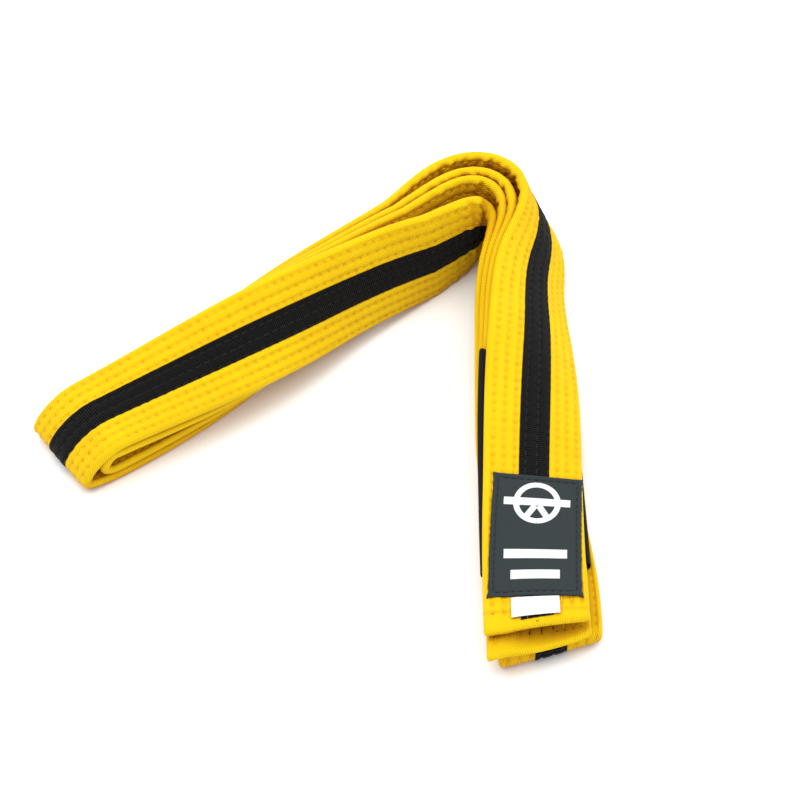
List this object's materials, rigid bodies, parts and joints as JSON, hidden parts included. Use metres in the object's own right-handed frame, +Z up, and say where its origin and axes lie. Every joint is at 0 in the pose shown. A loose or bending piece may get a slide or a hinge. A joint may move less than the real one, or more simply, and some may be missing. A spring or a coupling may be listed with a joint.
{
  "type": "martial arts belt",
  "caption": "Quilted cotton belt with a tape stripe, rank bar, woven label and flip-up size tab, folded into a flat bundle that bends into an arch; worn round the waist.",
  "frame": {"origin": "on the resting surface, under the centre of the folded bundle's box", "axes": "+Z up from the resting surface, -Y towards the labelled end, with the bend at +Y"},
  "size_m": [0.231, 0.244, 0.0474],
  "materials": {
    "yellow_twill": "matte diagonal twill",
    "core_cotton": "matte raw cotton",
    "black_tape": "ribbed tape",
    "yellow_thread": "sewing thread",
    "black_thread": "sewing thread",
    "brown_thread": "sewing thread",
    "black_sleeve": "matte black twill",
    "charcoal_label": "woven damask",
    "white_ribbon": "satin ribbon"
  },
  "bodies": {
    "belt": {"twill_cover": "yellow_twill", "core_ply_1": "core_cotton", "core_ply_2": "core_cotton", "core_ply_3": "core_cotton", "stripe_tape": "black_tape", "cover_seam_1": "yellow_thread", "cover_seam_2": "yellow_thread", "cover_seam_3": "yellow_thread", "cover_seam_4": "yellow_thread", "cover_seam_5": "yellow_thread", "cover_seam_6": "yellow_thread", "tape_seam_1": "black_thread", "tape_seam_2": "black_thread", "tape_seam_3": "black_thread", "label_end_seam": "yellow_thread", "bar_end_seam": "yellow_thread", "hem_tack": "brown_thread", "rank_bar": "black_sleeve", "bar_seam_1": "black_thread", "bar_seam_2": "black_thread", "woven_label": "charcoal_label", "label_seam": "black_thread"},
    "size_tab": {"size_tab": "white_ribbon"}
  },
  "joints": [
    {"name": "tab_flip", "type": "hinge", "parent": "belt", "child": "size_tab", "pos_m": [0.08998, -0.10528, 0.022], "axis": [-1, 0, 0], "range_deg": [0, 90]}
  ]
}
